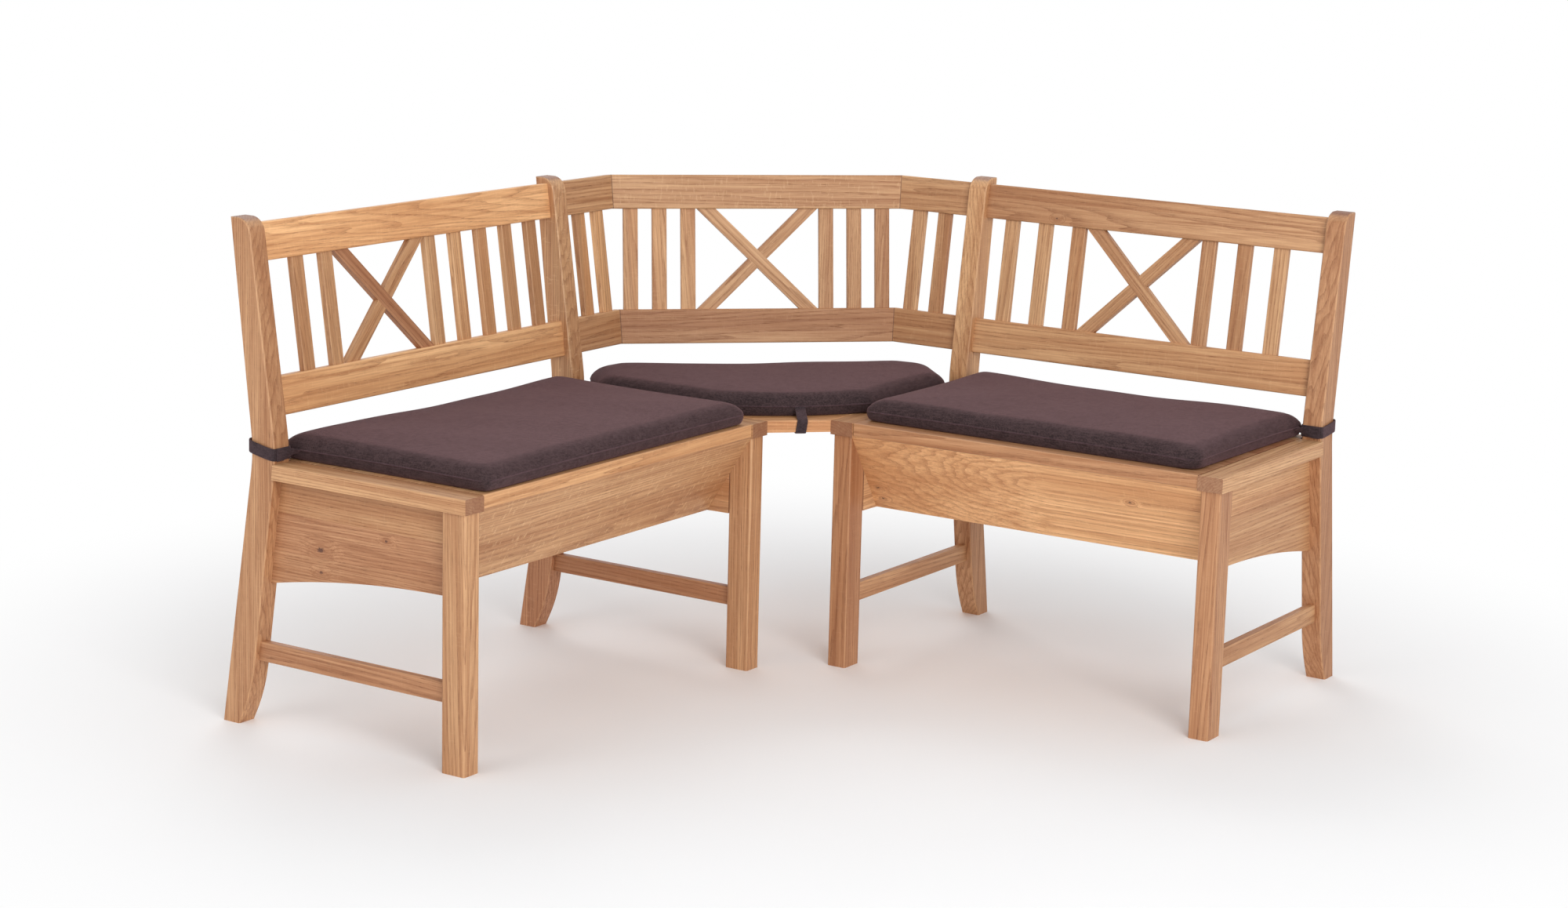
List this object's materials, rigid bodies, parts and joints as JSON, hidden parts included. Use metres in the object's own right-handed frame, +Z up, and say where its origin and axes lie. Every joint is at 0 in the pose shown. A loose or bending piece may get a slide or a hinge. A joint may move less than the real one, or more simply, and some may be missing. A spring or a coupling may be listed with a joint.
{
  "type": "corner bench",
  "caption": "L-shaped oak corner bench: chest benches with hinged seat lids, slatted backs with crosses, a mitred corner unit and strapped seat cushions.",
  "frame": {"origin": "middle of the floor area, on the floor", "axes": "+Z up; the right bench runs along X with its back towards +Y; the left bench runs along Y with its back towards -X; the corner is at -X +Y"},
  "size_m": [1.4026, 1.4744, 0.867],
  "materials": {
    "oak_frame": "oiled satin",
    "oak_boards": "oiled satin",
    "oak_inner_boards": "plain",
    "cushion_fabric": "matt microfibre",
    "strap_fabric": "matt woven",
    "hinge_steel": "satin"
  },
  "bodies": {
    "frame": {"corner_back_cross": "oak_frame", "corner_cushion": "cushion_fabric", "corner_cushion_strap": "strap_fabric", "corner_left_cleat": "oak_frame", "corner_left_slats": "oak_frame", "corner_lower_centre_rail": "oak_frame", "corner_lower_left_rail": "oak_frame", "corner_lower_right_rail": "oak_frame", "corner_right_cleat": "oak_frame", "corner_right_slats": "oak_frame", "corner_seat_board": "oak_boards", "corner_top_centre_rail": "oak_frame", "corner_top_left_rail": "oak_frame", "corner_top_right_rail": "oak_frame", "hinge_fixed_leaves": "hinge_steel", "left_back_cross": "oak_frame", "left_chest_back": "oak_inner_boards", "left_chest_floor": "oak_inner_boards", "left_chest_front": "oak_boards", "left_corner_end_panel": "oak_boards", "left_corner_front_leg": "oak_frame", "left_corner_rear_post": "oak_frame", "left_corner_seat_rail": "oak_frame", "left_corner_side_slats": "oak_frame", "left_cushion_strap": "strap_fabric", "left_hinge_rail": "oak_frame", "left_lower_back_rail": "oak_frame", "left_outer_end_panel": "oak_boards", "left_outer_front_leg": "oak_frame", "left_outer_rear_post": "oak_frame", "left_outer_seat_rail": "oak_frame", "left_outer_side_slats": "oak_frame", "left_stretchers": "oak_frame", "left_top_back_rail": "oak_frame", "right_back_cross": "oak_frame", "right_chest_back": "oak_inner_boards", "right_chest_floor": "oak_inner_boards", "right_chest_front": "oak_boards", "right_corner_end_panel": "oak_boards", "right_corner_front_leg": "oak_frame", "right_corner_rear_post": "oak_frame", "right_corner_seat_rail": "oak_frame", "right_corner_side_slats": "oak_frame", "right_cushion_strap": "strap_fabric", "right_hinge_rail": "oak_frame", "right_lower_back_rail": "oak_frame", "right_outer_end_panel": "oak_boards", "right_outer_front_leg": "oak_frame", "right_outer_rear_post": "oak_frame", "right_outer_seat_rail": "oak_frame", "right_outer_side_slats": "oak_frame", "right_stretchers": "oak_frame", "right_top_back_rail": "oak_frame"},
    "left_lid": {"left_lid": "oak_boards", "left_hinge_lid_leaves": "hinge_steel", "left_cushion": "cushion_fabric"},
    "right_lid": {"right_lid": "oak_boards", "right_hinge_lid_leaves": "hinge_steel", "right_cushion": "cushion_fabric"}
  },
  "joints": [
    {"name": "left_lid_hinge", "type": "hinge", "parent": "frame", "child": "left_lid", "pos_m": [-0.56325, -0.30875, 0.462], "axis": [0, -1, 0], "range_deg": [0, 65]},
    {"name": "right_lid_hinge", "type": "hinge", "parent": "frame", "child": "right_lid", "pos_m": [0.30875, 0.59925, 0.462], "axis": [-1, 0, 0], "range_deg": [0, 65]}
  ]
}
